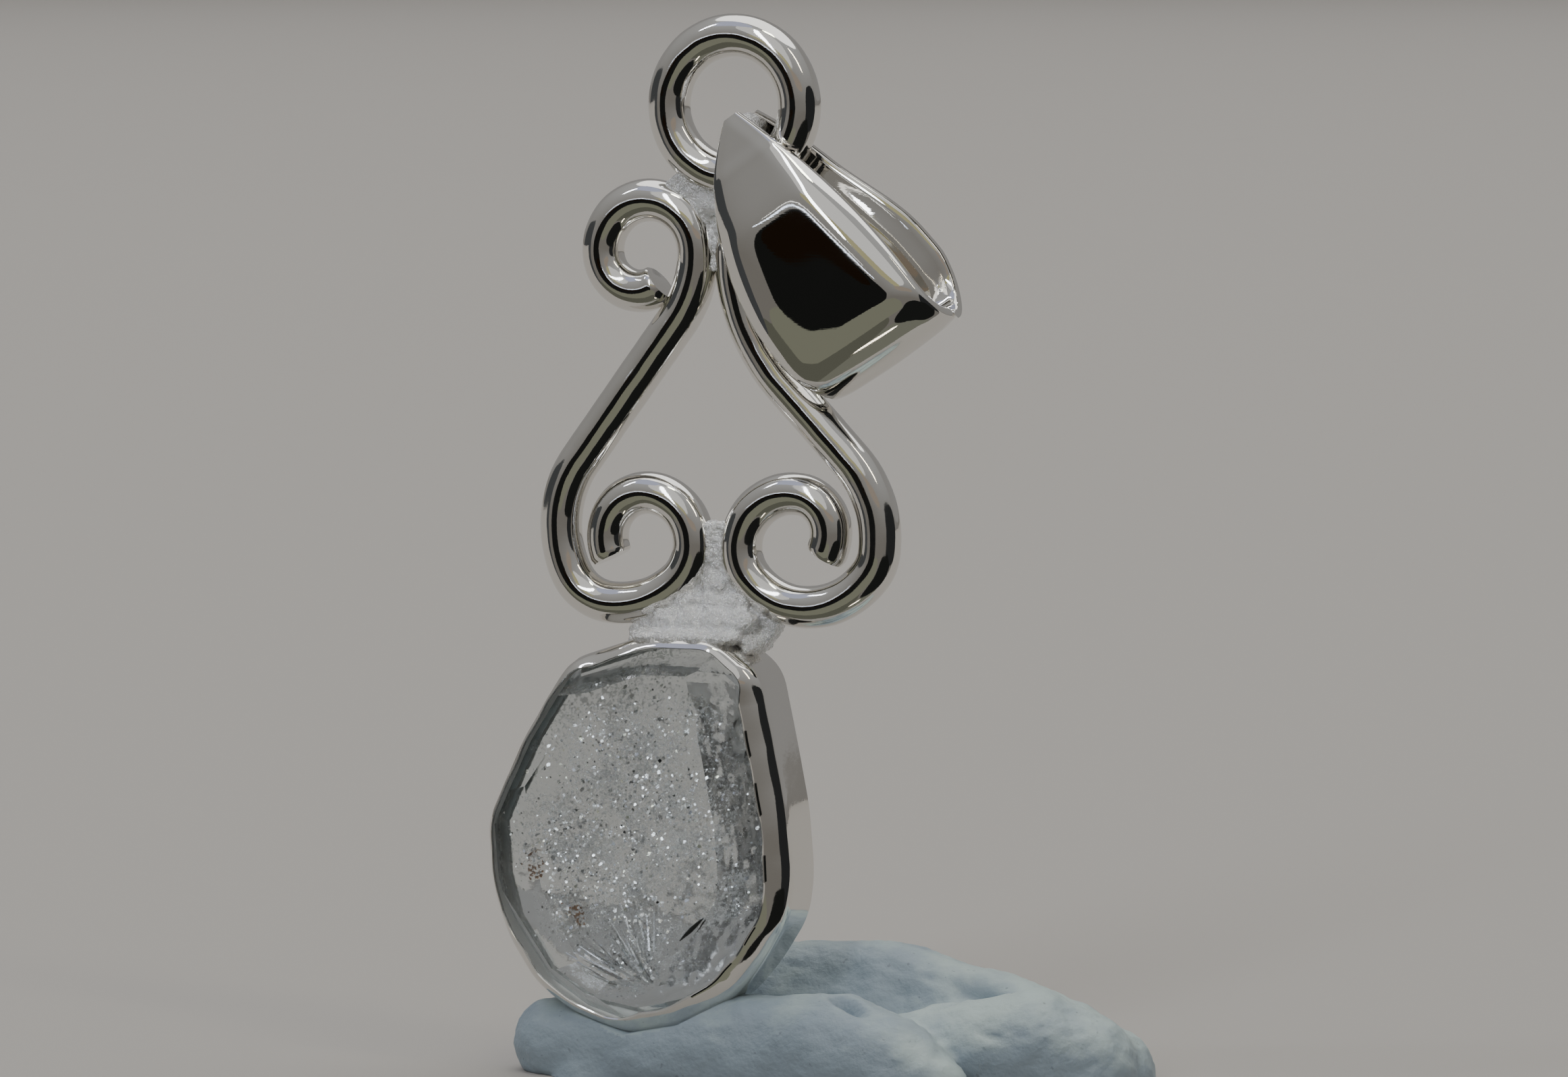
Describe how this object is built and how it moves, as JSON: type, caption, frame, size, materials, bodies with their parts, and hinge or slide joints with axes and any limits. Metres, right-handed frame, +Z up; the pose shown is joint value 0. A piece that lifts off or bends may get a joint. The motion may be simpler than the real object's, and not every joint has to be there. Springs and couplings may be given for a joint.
{
  "type": "crystal point pendant with a putty stand",
  "caption": "Silver pendant: a clear crystal in a deep bezel under a pair of scrolls, with a ring and a folded bail that swings, held upright in a lump of putty.",
  "frame": {"origin": "on the putty's flat underside, below the line where the two scrolls meet", "axes": "+Z up from the putty's underside to the top ring; the crystal's front faces -Y; +X to the right seen from the front"},
  "size_m": [0.0246, 0.0113, 0.0398],
  "materials": {
    "silver": "polished, bright, with fine scratches",
    "quartz": "clear with cloudy speckles",
    "silver_sheet": "mirror polished sheet",
    "putty": "matte, soft, with finger marks"
  },
  "bodies": {
    "pendant": {"setting": "silver", "crystal": "quartz", "putty_stand": "putty"},
    "bail": {"bail": "silver_sheet"}
  },
  "joints": [
    {"name": "bail_swing", "type": "hinge", "parent": "pendant", "child": "bail", "pos_m": [0.00069, 0, 0.0364], "axis": [0, -1, 0], "range_deg": [0, 284]}
  ]
}
